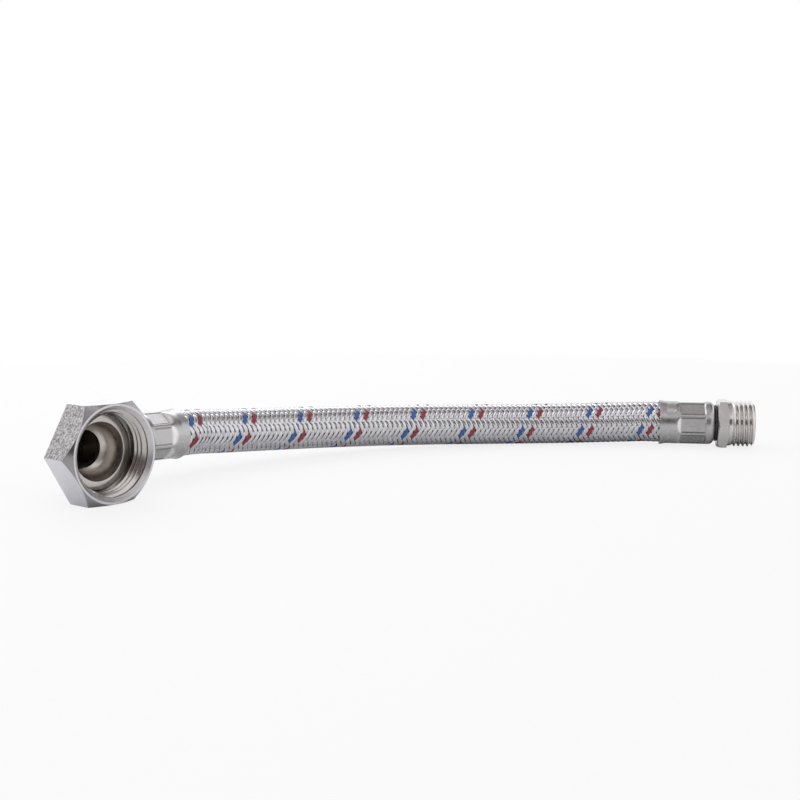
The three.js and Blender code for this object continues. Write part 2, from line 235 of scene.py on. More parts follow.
def turn_of(co):
    """Angle of a point around X, from +Z towards -Y."""
    return math.atan2(-co.y, co.z)


def set_radius(vert, radius):
    angle = turn_of(vert.co)
    vert.co.y, vert.co.z = -radius * math.sin(angle), radius * math.cos(angle)


def hexagon_radius(flats, angle):
    """Radius of a hexagon at an angle from the middle of one flat."""
    sixth = math.pi / 3
    return flats / 2 / math.cos((angle + sixth / 2) % sixth - sixth / 2)


def wound(section, pitch, start_angle, start, turns, steps_per_turn):
    """A ridge of (along, radius) section wound right-handed around X."""
    bm = bmesh.new()
    verts = []
    for along, radius in section:
        place = (start + along, -radius * math.sin(start_angle), radius * math.cos(start_angle))
        verts.append(bm.verts.new(place))
    edges = [bm.edges.new((verts[i - 1], verts[i])) for i in range(len(verts))]
    steps = round(turns * steps_per_turn)
    bmesh.ops.spin(
        bm, geom=verts + edges, cent=(0, 0, 0), axis=(1, 0, 0),
        dvec=(pitch / steps_per_turn, 0, 0), angle=2 * math.pi * steps / steps_per_turn,
        steps=steps,
    )
    return bm


def cut(bm, along, keep_beyond):
    """Cuts a solid at a plane across X and leaves it open there."""
    normal = (1, 0, 0) if keep_beyond else (-1, 0, 0)
    bmesh.ops.bisect_plane(
        bm, geom=bm.verts[:] + bm.edges[:] + bm.faces[:], plane_co=(along, 0, 0),
        plane_no=normal, clear_inner=True,
    )


def close(bm):
    """Fills the open ends of a solid."""
    bmesh.ops.holes_fill(bm, edges=[e for e in bm.edges if e.is_boundary], sides=0)


def finish_piece(bm, name, place, materials, body, sharp=35):
    """Puts a solid in its place, in metres, as a smooth-shaded piece on a body.

    Edges that turn by more than sharp degrees stay sharp.
    """
    bmesh.ops.recalc_face_normals(bm, faces=bm.faces)
    along = bm.verts.layers.float.new("along")
    for vert in bm.verts:
        vert[along] = vert.co.x
    bmesh.ops.transform(bm, matrix=place, verts=bm.verts)
    bmesh.ops.transform(bm, matrix=Matrix.Translation(HOME) @ Matrix.Scale(MM, 4), verts=bm.verts)
    for face in bm.faces:
        face.smooth = True
    for edge in bm.edges:
        if len(edge.link_faces) == 2 and edge.calc_face_angle() > math.radians(sharp):
            edge.smooth = False
    mesh = bpy.data.meshes.new(name)
    bm.to_mesh(mesh)
    bm.free()
    piece = bpy.data.objects.new(name, mesh)
    bpy.context.scene.collection.objects.link(piece)
    for material in materials:
        mesh.materials.append(material)
    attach(piece, body)
    return piece


def soften(piece, width):
    """Small rounded edges."""
    bevel = piece.modifiers.new("edges", "BEVEL")
    bevel.width = width * MM
    bevel.segments = 2
    bevel.limit_method = "ANGLE"
    bevel.angle_limit = math.radians(25)
    bevel.harden_normals = True


def ease(x):
    """A soft step from 0 to 1."""
    x = min(max(x, 0.0), 1.0)
    return x * x * (3 - 2 * x)


# Places

X_TO_Y = Matrix.Rotation(math.pi / 2, 4, "Z")
NUT_PLACE = Matrix.Translation((0, 0, NUT_FLATS / 2)) @ X_TO_Y
ELBOW_PLACE = Matrix.Translation((0, 0, NUT_FLATS / 2)) @ Matrix.Rotation(OUTLET_TILT, 4, "Y")
OUTLET_PLACE = (
    ELBOW_PLACE
    @ Matrix.Translation((LEAD, ELBOW_REACH, 0))
    @ Matrix.Rotation(math.pi, 4, "Z")
)
MALE_END_PLACE = Matrix.Translation((*MALE_PLACE, MALE_FLATS / 2)) @ Matrix.Rotation(
    MALE_HEADING, 4, "Z"
)


# Camera


def add_camera():
    data = bpy.data.cameras.new("camera")
    data.lens = CAMERA_LENS
    data.sensor_width = 36
    data.clip_start = 0.01
    camera = bpy.data.objects.new("camera", data)
    bpy.context.scene.collection.objects.link(camera)
    ahead = Vector((math.cos(CAMERA_HEADING), math.sin(CAMERA_HEADING), 0))
    ahead = ahead * math.cos(CAMERA_DIP) - Vector((0, 0, math.sin(CAMERA_DIP)))
    right = ahead.cross(Vector((0, 0, 1))).normalized()
    turn = Matrix((right, right.cross(ahead), -ahead)).transposed().to_4x4()
    camera.matrix_world = Matrix.Translation(HOME + Vector(CAMERA_PLACE) * MM) @ turn
    bpy.context.scene.camera = camera


# Route of the hose


def centripetal(p0, p1, p2, p3, t):
    """A point of the centripetal Catmull-Rom curve between p1 and p2."""
    d0, d1, d2 = (math.sqrt((b - a).length) for a, b in ((p0, p1), (p1, p2), (p2, p3)))
    m1 = ((p1 - p0) / d0 - (p2 - p0) / (d0 + d1) + (p2 - p1) / d1) * d1
    m2 = ((p2 - p1) / d1 - (p3 - p1) / (d1 + d2) + (p3 - p2) / d2) * d1
    a = 2 * (p1 - p2) + m1 + m2
    b = 3 * (p2 - p1) - 2 * m1 - m2
    return ((a * t + b) * t + m1) * t + p1


class Route:
    """The middle of the hose, with a frame across it at every distance from the elbow's ferrule."""

    STEP = 0.5

    def __init__(self):
        first = OUTLET_PLACE.translation
        last = MALE_END_PLACE.translation
        outward = OUTLET_PLACE.to_3x3() @ Vector((-1, 0, 0))
        inward = MALE_END_PLACE.to_3x3() @ Vector((1, 0, 0))
        self.controls = [
            first - outward * HOSE_RUN_IN * 2,
            first - outward * HOSE_RUN_IN,
            first,
            first + outward * STRAIGHT_RUN,
            *[Vector(point) for point in HOSE_POINTS],
            last - inward * STRAIGHT_RUN,
            last,
            last + inward * HOSE_RUN_IN,
            last + inward * HOSE_RUN_IN * 2,
        ]
        dense = []
        for k in range(1, len(self.controls) - 2):
            dense += [centripetal(*self.controls[k - 1 : k + 3], i / 60) for i in range(60)]
        dense.append(self.controls[-2])
        lengths = [0.0]
        for a, b in zip(dense, dense[1:]):
            lengths.append(lengths[-1] + (b - a).length)
        self.whole = lengths[-1]
        count = int(self.whole / self.STEP) + 1
        self.step = self.whole / count
        self.middle = []
        j = 0
        for i in range(count + 1):
            want = i * self.step
            while j < len(lengths) - 2 and lengths[j + 1] < want:
                j += 1
            share = (want - lengths[j]) / (lengths[j + 1] - lengths[j])
            self.middle.append(dense[j].lerp(dense[j + 1], min(share, 1)))
        self.across = []
        for i in range(count + 1):
            ahead = self.middle[min(i + 1, count)] - self.middle[max(i - 1, 0)]
            side = ahead.cross(Vector((0, 0, 1))).normalized()
            self.across.append((side, side.cross(ahead).normalized()))

    def place(self, along, radius, angle):
        """A point by distance from the ferrule, radius and angle up from the camera's side."""
        at = min(max((along + HOSE_RUN_IN) / self.step, 0), len(self.middle) - 1.001)
        i = int(at)
        share = at - i
        side = self.across[i][0].lerp(self.across[i + 1][0], share)
        rise = self.across[i][1].lerp(self.across[i + 1][1], share)
        centre = self.middle[i].lerp(self.middle[i + 1], share)
        return centre + (side * math.cos(angle) + rise * math.sin(angle)) * radius


# Braid


def lift(count):
    """Height of a strand, from -1 under to 1 over, by the count of strands that it has crossed."""
    near = abs((count + 0.5) % 4 - 2)
    return 2 * ease((near - 1 + WEAVE_EDGE) / (2 * WEAVE_EDGE)) - 1


def strand_section():
    """Wires side by side, as (across, height) points of one strand."""
    points = []
    for k in range(2 * WIRES + 1):
        side = k / WIRES - 1
        crown = WIRE_CROWN if k % 2 else 0
        drop = STRAND_ROUNDING * side**2
        points.append((side * STRAND_WIDTH / 2, STRAND_THICKNESS / 2 - WIRE_CROWN + crown - drop))
    points.append((STRAND_WIDTH / 2, -STRAND_THICKNESS / 2))
    points.append((-STRAND_WIDTH / 2, -STRAND_THICKNESS / 2))
    return points


def straight_strand(hand, length):
    """One strand wound around X, right-handed for hand 1 and left-handed for hand -1."""
    bm = bmesh.new()
    radius = BRAID_DIAMETER / 2 - WEAVE_LIFT - STRAND_THICKNESS / 2
    slant = math.atan2(2 * math.pi * radius, BRAID_PITCH)
    verts = []
    for across, height in strand_section():
        place = (across * math.sin(slant), hand * across * math.cos(slant), radius + height)
        verts.append(bm.verts.new(place))
    edges = [bm.edges.new((verts[i - 1], verts[i])) for i in range(len(verts))]
    step = BRAID_PITCH * STATION_ANGLE / (2 * math.pi)
    steps = int(length / step)
    bmesh.ops.spin(
        bm, geom=verts + edges, cent=(0, 0, 0), axis=(hand, 0, 0), dvec=(step, 0, 0),
        angle=STATION_ANGLE * steps, steps=steps,
    )
    close(bm)
    mesh = bpy.data.meshes.new("straight")
    bm.to_mesh(mesh)
    bm.free()
    return mesh


def woven(name, route, hand, carriers, material):
    """Strands of one hand, over two and under two of the other hand, along the route."""
    straight = straight_strand(hand, route.whole)
    gap = 2 * math.pi / CARRIERS
    bm = bmesh.new()
    for carrier in carriers:
        start = len(bm.verts)
        bm.from_mesh(straight)
        bm.verts.ensure_lookup_table()
        own = ROW_ANGLE + gap * carrier + (0 if hand > 0 else gap / 2) - hand * RUN_IN_ANGLE
        for vert in bm.verts[start:]:
            along = vert.co.x - HOSE_RUN_IN
            radius = radius_of(vert.co)
            angle = own + turn_of(vert.co)
            wind = 2 * math.pi * along / BRAID_PITCH
            other = (angle - ROW_ANGLE + hand * wind) / gap - (0.5 if hand > 0 else 0)
            height = hand * lift(carrier + other)
            vert.co = route.place(along, radius + WEAVE_LIFT * height, angle)
    bpy.data.meshes.remove(straight)
    return finish_piece(bm, name, Matrix.Identity(4), [material], ASSEMBLY, 60)


def liner(route, material):
    """The black tube under the braid."""
    rows = round(route.whole / 3)
    outer = [(route.whole * i / rows - HOSE_RUN_IN, LINER_RADIUS) for i in range(rows + 1)]
    inner = [(along, LINER_RADIUS - LINER_WALL) for along, _ in reversed(outer)]
    bm = turned(outer + inner, 40)
    for vert in bm.verts:
        vert.co = route.place(vert.co.x, radius_of(vert.co), turn_of(vert.co))
    return finish_piece(bm, "liner_tube", Matrix.Identity(4), [material], ASSEMBLY)


# Union nut

# The last finish is a darker copy of the machined nickel for the front bevel, painted shade
MACHINED, COARSE, SMOOTH, SATIN, SHADED_BEVEL = range(5)  # its finishes, in the order of its materials


def union_nut(machined, coarse, smooth, satin, shaded_bevel):
    bevel_slope = (NUT_FLATS / math.sqrt(3) - NUT_RIM) / NUT_BEVEL
    middle = NUT_FLATS / 2
    profile = [
        (0, NUT_RIM),
        (NUT_BEVEL / 2, middle),
        (NUT_BEVEL + 1, middle),
        (NUT_LENGTH - NUT_BACK_BEVEL, middle),
        (NUT_LENGTH, middle - NUT_BACK_BEVEL),
        (NUT_LENGTH, NECK_RADIUS + NECK_SPACE),
        (CHAMBER, NECK_RADIUS + NECK_SPACE),
        (CHAMBER, NUT_MAJOR),
        (RELIEF, NUT_MAJOR),
        (NUT_MOUTH - NUT_MAJOR, NUT_MAJOR),
        (0, NUT_MOUTH),
    ]
    bm = turned(profile, 120)
    for vert in bm.verts:
        angle = turn_of(vert.co)
        radius = radius_of(vert.co)
        if radius > NUT_RIM + 0.03 or (vert.co.x > NUT_LENGTH - 1e-4 and radius > NUT_MAJOR):
            hexagon = hexagon_radius(NUT_FLATS, angle)
            if abs(vert.co.x - NUT_BEVEL / 2) < 1e-4:
                vert.co.x = (hexagon - NUT_RIM) / bevel_slope
                set_radius(vert, hexagon)
            elif vert.co.x > NUT_LENGTH - 1e-4:
                set_radius(vert, hexagon - NUT_BACK_BEVEL)
            else:
                set_radius(vert, hexagon)
    bmesh.ops.recalc_face_normals(bm, faces=bm.faces)
    for face in bm.faces:
        centre = face.calc_center_median()
        if abs(face.normal.x) < 0.2 and radius_of(centre) > middle - 0.2:
            on_coarse_flat = abs(turn_of(centre) - COARSE_FLAT) < math.pi / 6
            face.material_index = COARSE if on_coarse_flat else SMOOTH
        elif centre.x < NUT_MOUTH - NUT_MAJOR and radius_of(centre) < NUT_RIM:
            face.material_index = SATIN
        # The front bevel takes the darker copy of the nickel, painted shade
        elif centre.x < NUT_BEVEL and radius_of(centre) > NUT_RIM:
            face.material_index = SHADED_BEVEL
    finishes = [machined, coarse, smooth, satin, shaded_bevel]
    nut = finish_piece(bm, "nut_hexagon", NUT_PLACE, finishes, NUT, 25)
    soften(nut, SMALL_EDGE)
    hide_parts("union_nut")

    # The thread, which runs out into the wall over the last third of a turn
    deep = NUT_MAJOR + 0.15
    section = [(-1.06, deep), (-0.99, NUT_MAJOR), (-0.2, NUT_MINOR + 0.13), (-0.08, NUT_MINOR),
               (0.08, NUT_MINOR), (0.2, NUT_MINOR + 0.13), (0.99, NUT_MAJOR), (1.06, deep)]
    start = -1.0
    start_angle = (start - NUT_CREST) / NUT_PITCH * 2 * math.pi + math.pi / 2
    turns = (RELIEF + 0.3 - start) / NUT_PITCH
    bm = wound(section, NUT_PITCH, start_angle, start, turns, 90)
    for vert in bm.verts:
        radius = radius_of(vert.co)
        angle = turn_of(vert.co)
        rough_turn = (vert.co.x - start) / NUT_PITCH * 2 * math.pi
        here = angle - start_angle
        here += round((rough_turn - here) / (2 * math.pi)) * 2 * math.pi
        left = turns * 2 * math.pi - here
        radius += (deep - radius) * (1 - ease(left / NUT_RUN_OUT))
        set_radius(vert, max(radius, min(NUT_MOUTH - vert.co.x, deep)))
    cut(bm, NUT_MOUTH - NUT_MAJOR - 0.1, True)
    close(bm)
    finish_piece(bm, "nut_thread", NUT_PLACE, [machined], NUT, 60)


# Elbow


def elbow(material, inside):
    bend_start = ELBOW_REACH - BEND_RADIUS
    arc = BEND_RADIUS * math.pi / 2
    bend_end = bend_start + arc
    shoulder_end = bend_end + LEAD - FERRULE_LENGTH - PIECE_GAP - BEND_RADIUS
    shoulder = shoulder_end - SHOULDER_LENGTH
    collar_back = SEAT_DEPTH + COLLAR_THICKNESS
    neck_end = collar_back + NECK_LENGTH
    cone_end = neck_end + NECK_CONE
    bowl_start = SEAT_DEPTH + BOWL_STRAIGHT
    rows = 18
    arc_rows = [bend_start + arc * i / rows for i in range(rows + 1)]
    bowl = []
    for i in range(13):
        slope = math.pi / 2 + (math.asin(ELBOW_BORE / BOWL_RADIUS) - math.pi / 2) * i / 12
        bowl.append((bowl_start + BOWL_DEPTH * math.cos(slope), BOWL_RADIUS * math.sin(slope)))
    profile = filleted([
        (SEAT_DEPTH, BOWL_RADIUS, 0.12),
        (SEAT_DEPTH, COLLAR_RADIUS, 0.5),
        (collar_back, COLLAR_RADIUS, 0.2),
        (collar_back, NECK_RADIUS),
        (neck_end, NECK_RADIUS, 1.2),
        (cone_end, ELBOW_RADIUS, 3),
        *[(along, ELBOW_RADIUS) for along in arc_rows if along > cone_end + 1.3],
        (shoulder - SHOULDER_STEP, ELBOW_RADIUS, 0.6),
        (shoulder, SHOULDER_RADIUS, 0.6),
        (shoulder_end, SHOULDER_RADIUS, 0.6),
        (shoulder_end, TAIL_RADIUS),
        (shoulder_end + TAIL_START, TAIL_RADIUS),
        (shoulder_end + TAIL_START, TAIL_BORE),
        (shoulder_end, TAIL_BORE),
        (shoulder, ELBOW_BORE),
        *[(along, ELBOW_BORE) for along in reversed(arc_rows) if along > bowl[-1][0] + 0.3],
        *reversed(bowl),
    ], 3)
    bm = turned(profile, 96)
    for face in bm.faces:
        centre = face.calc_center_median()
        in_bore = radius_of(centre) < ELBOW_BORE + 0.1
        in_bowl = centre.x < bend_start + 2 and radius_of(centre) < BOWL_RADIUS + 0.05
        # Faces of the bowl and bore take the second material, a warm pale copy of the nickel that
        # is painted light for the reflections inside them
        if centre.x > SEAT_DEPTH + 0.1 and (in_bore or in_bowl):
            face.material_index = 1
    for vert in bm.verts:
        along, y, z = vert.co
        if along <= bend_start:
            continue
        turn = min((along - bend_start) / BEND_RADIUS, math.pi / 2)
        rest = max(along - bend_end, 0)
        reach = BEND_RADIUS + y
        vert.co = (
            bend_start + reach * math.sin(turn) if rest == 0 else bend_start + reach,
            -BEND_RADIUS + reach * math.cos(turn) - rest,
            z,
        )
    finishes = [material, inside]
    piece = finish_piece(
        bm, "swivel_elbow", ELBOW_PLACE @ X_TO_Y, finishes, ASSEMBLY, 50
    )
    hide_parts("elbow_fitting")


# Ferrules


def crimp(along, arc, slope):
    """Depth of a crimp, 0 to 1, and its painted light, by the distance from the mouth and from its
    middle.

    It runs out towards the mouth in a rounded slope. The painted light is 0 for painted shade in
    the corners, 0.5 on plain steel and 1 for a painted highlight along the slope.
    """
    start, end = slope
    half_arc = math.pi * FERRULE_RADIUS / CRIMPS - CRIMP_RIDGE / 2
    across = min(abs(arc) / half_arc, 1)
    outline = start + (end - start) * (1 - math.sqrt(1 - across**2)) * CRIMP_ROUNDING
    run_out = ease((along - outline) / (end - outline))
    side = ease((half_arc - abs(arc)) / CRIMP_WALL)
    closed = ease((CRIMP_END - along) / CRIMP_WALL)
    # Painted highlight along the middle of the slope, and painted shade in the corners of the crimp
    painted_highlight = 4 * run_out * (1 - run_out) * side
    from_corner = abs(half_arc - CRIMP_WALL - abs(arc)) / CRIMP_WALL
    painted_corner_shade = min(max(1 - from_corner, 0), 1) * run_out * closed
    return run_out * side * closed, 0.5 + 0.5 * painted_highlight - 0.5 * painted_corner_shade * (1 - painted_highlight)


def ferrule(name, place, flat_turn, mouth, slope, node, material):
    """Crimped sleeve. flat_turn is the angle of the middle of one crimp from the top."""
    start, end = slope
    slope_rows = [start + (end - start) * i / 12 for i in range(13)]
    wall_rows = [CRIMP_END - 1.6 + 0.2 * i for i in range(10)]
    crimp_rows = slope_rows + [15, 17, 19] + wall_rows
    profile = filleted([
        (mouth, SKIRT_RADIUS + FERRULE_FLARE, 0.1),
        (mouth, FERRULE_RADIUS + FERRULE_FLARE, 0.1),
        (mouth + FLARE_LENGTH, FERRULE_RADIUS, 3),
        *[(along, FERRULE_RADIUS) for along in crimp_rows],
        (FERRULE_LENGTH, FERRULE_RADIUS, FERRULE_EDGE),
        (FERRULE_LENGTH, FLANGE_RADIUS, 0.2),
        (FERRULE_LENGTH - FLANGE_THICKNESS, FLANGE_RADIUS),
        (FERRULE_LENGTH - FLANGE_THICKNESS, LINER_SPACE),
        (SKIRT_DEPTH + 1, LINER_SPACE),
        (SKIRT_DEPTH + 1, SKIRT_RADIUS),
        (mouth + FLARE_LENGTH, SKIRT_RADIUS),
    ], 5)
    bm = turned(profile, CRIMPS * 36)
    # Each vertex keeps the crimps' painted light: painted shade in their corners and a painted
    # highlight on their slopes
    painted_crimp_light = bm.verts.layers.float.new("painted_crimp_light")
    sector = 2 * math.pi / CRIMPS
    flat = FERRULE_RADIUS - CRIMP_SINK
    for vert in bm.verts:
        radius = radius_of(vert.co)
        vert[painted_crimp_light] = 0.5
        if radius < FERRULE_RADIUS - 0.01 or not start < vert.co.x < CRIMP_END:
            continue
        off = (turn_of(vert.co) - flat_turn + sector / 2) % sector - sector / 2
        depth, vert[painted_crimp_light] = crimp(vert.co.x, off * FERRULE_RADIUS, slope)
        plane = min(flat / math.cos(off), FERRULE_RADIUS - CRIMP_STEP)
        set_radius(vert, radius + (plane - radius) * depth)
    piece = finish_piece(bm, name, place, [material], ASSEMBLY, 50)
    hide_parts(node)


# Male fitting


def black_ring(material):
    start, end = FERRULE_LENGTH + RING_GAP, HEX_START - RING_GAP
    bm = turned(filleted([
        (start, FLANGE_RADIUS), (start, RING_RADIUS, 0.5),
        (end, RING_RADIUS, 0.5), (end, FLANGE_RADIUS),
    ]), 72)
    piece = finish_piece(bm, "black_ring", MALE_END_PLACE, [material], ASSEMBLY)
    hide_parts("seal_ring")
    return piece


def male_fitting(material):
    hex_end = HEX_START + HEX_LENGTH
    middle = MALE_FLATS / 2
    profile = [
        (HEX_START, MALE_RIM),
        (HEX_START + HEX_BEVEL, middle),
        (hex_end - HEX_BEVEL, middle),
        (hex_end, MALE_RIM),
        *filleted([(hex_end, BAND_RADIUS), (THREAD_START - BAND_SLOPE, BAND_RADIUS, 0.4),
                   (THREAD_START, MALE_ROOT, 0.3), (MALE_END, MALE_ROOT, 0.25),
                   (MALE_END, MALE_BORE, 0.3), (hex_end, MALE_BORE)], 3),
        (FERRULE_LENGTH, TAIL_BORE),
        (FERRULE_LENGTH - TAIL_START, TAIL_BORE),
        (FERRULE_LENGTH - TAIL_START, TAIL_RADIUS),
        (HEX_START, TAIL_RADIUS),
    ]
    bm = turned(profile, 120)
    slope = (MALE_FLATS / math.sqrt(3) - MALE_RIM) / HEX_BEVEL
    for vert in bm.verts:
        radius = radius_of(vert.co)
        if radius < middle - 0.05:
            continue
        hexagon = hexagon_radius(MALE_FLATS, turn_of(vert.co))
        inset = (hexagon - MALE_RIM) / slope
        front = vert.co.x < (HEX_START + hex_end) / 2
        vert.co.x = HEX_START + inset if front else hex_end - inset
        set_radius(vert, hexagon)
    fitting = finish_piece(bm, "male_end", MALE_END_PLACE, [material], ASSEMBLY, 25)
    soften(fitting, SMALL_EDGE)
    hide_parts("male_fitting")

    # The thread, which grows from the slope of the band and ends in a bevel
    deep = MALE_ROOT - 0.15
    section = [(-0.95, deep), (-0.88, MALE_ROOT), (-0.2, MALE_MAJOR - 0.12), (-0.1, MALE_MAJOR),
               (0.1, MALE_MAJOR), (0.2, MALE_MAJOR - 0.12), (0.88, MALE_ROOT), (0.95, deep)]
    start = THREAD_START - 1.2
    start_angle = (start - MALE_CREST) / MALE_PITCH * 2 * math.pi + math.pi / 2
    turns = (MALE_END + 1.0 - start) / MALE_PITCH
    bm = wound(section, MALE_PITCH, start_angle, start, turns, 72)
    for vert in bm.verts:
        radius = radius_of(vert.co)
        along = vert.co.x
        growth = ease((along - THREAD_START + 0.3) / 0.9)
        radius = min(radius, MALE_START + (MALE_MAJOR - MALE_START) * growth)
        tip = MALE_END - MALE_BEVEL
        if along > tip:
            radius = min(radius, MALE_MAJOR - (along - tip) / MALE_BEVEL * (MALE_MAJOR - MALE_ROOT))
        set_radius(vert, radius)
    cut(bm, MALE_END - 0.05, False)
    cut(bm, THREAD_START - 1.6, True)
    close(bm)
    thread = finish_piece(bm, "male_thread", MALE_END_PLACE, [material], ASSEMBLY, 60)
    return fitting, thread


# Materials


class Look:
    """A node material with short ways to add its textures."""

    def __init__(self, name, colour, roughness, metallic):
        self.material = bpy.data.materials.new(name)
        self.material.use_nodes = True
        self.tree = self.material.node_tree
        self.shader = self.tree.nodes["Principled BSDF"]
        self.shader.inputs["Base Color"].default_value = (*colour, 1)
        self.shader.inputs["Roughness"].default_value = roughness
        self.shader.inputs["Metallic"].default_value = metallic
        self.height = None

    def node(self, kind, **values):
        node = self.tree.nodes.new(kind)
        for key, value in values.items():
            if key in node.inputs:
                node.inputs[key].default_value = value
            else:
                setattr(node, key, value)
        return node

    def link(self, out, into):
        self.tree.links.new(out, into)

    def noise(self, scale, detail=3):
        coords = self.node("ShaderNodeTexCoord")
        noise = self.node("ShaderNodeTexNoise", Scale=scale, Detail=detail)
        self.link(coords.outputs["Object"], noise.inputs["Vector"])
        return noise.outputs["Fac"]

    def rings(self, per_mm, detail=2):
        """Turning marks, by the distance along the axis of the piece."""
        along = self.node("ShaderNodeAttribute", attribute_name="along")
        noise = self.node("ShaderNodeTexNoise", noise_dimensions="1D", Scale=per_mm, Detail=detail)
        self.link(along.outputs["Fac"], noise.inputs["W"])
        return noise.outputs["Fac"]

    def spread(self, fac, low, high, from_low=0.3, from_high=0.7):
        node = self.node("ShaderNodeMapRange")
        node.inputs["From Min"].default_value = from_low
        node.inputs["From Max"].default_value = from_high
        node.inputs["To Min"].default_value = low
        node.inputs["To Max"].default_value = high
        self.link(fac, node.inputs["Value"])
        return node.outputs["Result"]

    def roughen(self, fac, low, high):
        self.link(self.spread(fac, low, high), self.shader.inputs["Roughness"])

    def tint(self, fac, low, high, from_low=0.3, from_high=0.7):
        ramp = self.node("ShaderNodeValToRGB")
        ramp.color_ramp.elements[0].position = from_low
        ramp.color_ramp.elements[0].color = (*low, 1)
        ramp.color_ramp.elements[1].position = from_high
        ramp.color_ramp.elements[1].color = (*high, 1)
        self.link(fac, ramp.inputs["Fac"])
        self.link(ramp.outputs["Color"], self.shader.inputs["Base Color"])

    def bump(self, fac, depth_mm, strength=1.0):
        node = self.node("ShaderNodeBump", Strength=strength, Distance=depth_mm * MM)
        self.link(fac, node.inputs["Height"])
        if self.height:
            self.link(self.height, node.inputs["Normal"])
        self.height = node.outputs["Normal"]
        self.link(self.height, self.shader.inputs["Normal"])


def nickel_machined(name, colour):
    look = Look(name, colour, 0.22, 1)
    look.tint(look.noise(70), [0.93 * part for part in colour], [1.07 * part for part in colour])
    look.roughen(look.noise(260, 4), 0.16, 0.28)
    look.bump(look.rings(5), 0.01, 0.6)
    look.bump(look.noise(900, 2), 0.01, 0.5)
    return look.material


def nickel_satin():
    look = Look("nickel_satin", (0.72, 0.7, 0.73), 0.36, 1)
    look.tint(look.noise(90), (0.69, 0.67, 0.7), (0.75, 0.73, 0.76))
    look.roughen(look.noise(300, 3), 0.32, 0.42)
    look.bump(look.rings(8), 0.008, 0.5)
    return look.material


def nickel_smooth():
    look = Look("nickel_smooth", (0.76, 0.755, 0.8), 0.34, 1)
    look.tint(look.noise(60), (0.73, 0.725, 0.77), (0.79, 0.785, 0.83))
    look.roughen(look.noise(400, 3), 0.3, 0.4)
    look.bump(look.noise(700, 3), 0.02, 0.5)
    return look.material


# Painted light: a warm, pale copy of the machined nickel, set apart for the reflections inside the
# bowl and bore
def nickel_inside_painted_light():
    look = Look("nickel_inside_painted_light", (0.68, 0.63, 0.59), 0.32, 1)
    look.tint(look.noise(90), (0.64, 0.59, 0.55), (0.72, 0.67, 0.63))
    look.roughen(look.noise(300, 3), 0.26, 0.38)
    look.bump(look.rings(4), 0.01, 0.6)
    return look.material


def nickel_coarse():
    look = Look("nickel_coarse", (0.42, 0.4, 0.41), 0.3, 1)
    look.tint(look.noise(1300, 3), (0.2, 0.19, 0.195), (0.62, 0.6, 0.61), 0.36, 0.64)
    look.roughen(look.noise(700, 4), 0.24, 0.4)
    look.bump(look.noise(1300, 3), 0.32, 0.8)
    return look.material


def sleeve_steel():
    look = Look("sleeve_steel", (0.55, 0.54, 0.545), 0.28, 1)
    look.tint(look.noise(60), (0.51, 0.5, 0.505), (0.59, 0.58, 0.585))
    # The base colour is scaled by the crimps' painted light: darker in their corners for painted
    # shade, lighter on their slopes for a painted highlight
    painted_light_share = look.node("ShaderNodeAttribute", attribute_name="painted_crimp_light").outputs["Fac"]
    shade = look.node("ShaderNodeVectorMath", operation="SCALE")
    look.link(look.shader.inputs["Base Color"].links[0].from_socket, shade.inputs[0])
    look.link(look.spread(painted_light_share, 0.35, 1.65, 0, 1), shade.inputs["Scale"])
    look.link(shade.outputs["Vector"], look.shader.inputs["Base Color"])
    look.roughen(look.noise(420, 4), 0.24, 0.36)
    look.bump(look.rings(7, 3), 0.012, 0.6)
    look.bump(look.noise(160, 3), 0.04, 0.3)
    return look.material


def braid_wire():
    look = Look("braid_wire", (0.69, 0.685, 0.72), 0.24, 1)
    look.tint(look.noise(500, 3), (0.61, 0.605, 0.635), (0.77, 0.765, 0.8))
    look.roughen(look.noise(900, 2), 0.18, 0.3)
    look.bump(look.noise(3500, 2), 0.02, 0.4)
    return look.material


def tracer(name, dark, pale):
    look = Look(name, pale, 0.5, 0)
    look.tint(look.noise(1600, 4), dark, pale)
    look.roughen(look.noise(1200, 2), 0.4, 0.6)
    look.bump(look.noise(3000, 3), 0.04, 0.5)
    return look.material


def rubber(name, dark, pale, roughness):
    look = Look(name, dark, roughness, 0)
    look.tint(look.noise(900, 4), dark, pale)
    look.roughen(look.noise(500, 3), roughness - 0.08, roughness + 0.1)
    look.bump(look.noise(2500, 3), 0.02, 0.5)
    return look.material


# Studio


def card(name, place, size, facing, colour):
    """A dark card that only shows in the metal."""
    bm = bmesh.new()
    bmesh.ops.create_grid(bm, x_segments=1, y_segments=1, size=0.5)
    mesh = bpy.data.meshes.new(name)
    bm.to_mesh(mesh)
    bm.free()
    board = bpy.data.objects.new(name, mesh)
    bpy.context.scene.collection.objects.link(board)
    board.location = HOME + Vector(place) * MM
    board.scale = (size[0] * MM, size[1] * MM, 1)
    aim = HOME + Vector(facing) * MM - board.location
    board.rotation_euler = aim.to_track_quat("Z", "Y").to_euler()
    board.visible_camera = False
    board.visible_diffuse = False
    board.visible_shadow = False
    look = Look(name, (0, 0, 0), 1, 0)
    look.shader.inputs["Emission Color"].default_value = (*colour, 1)
    look.shader.inputs["Emission Strength"].default_value = 1
    mesh.materials.append(look.material)


def lamp(name, place, size, power):
    """A soft lamp that points at the middle of the hose."""
    data = bpy.data.lights.new(name, "AREA")
    data.shape = "RECTANGLE"
    data.size, data.size_y = size[0] * MM, size[1] * MM
    data.energy = power
    light = bpy.data.objects.new(name, data)
    bpy.context.scene.collection.objects.link(light)
    light.location = HOME + Vector(place) * MM
    direction = HOME + Vector(STUDIO_AIM) * MM - light.location
    light.rotation_euler = direction.to_track_quat("-Z", "Y").to_euler()


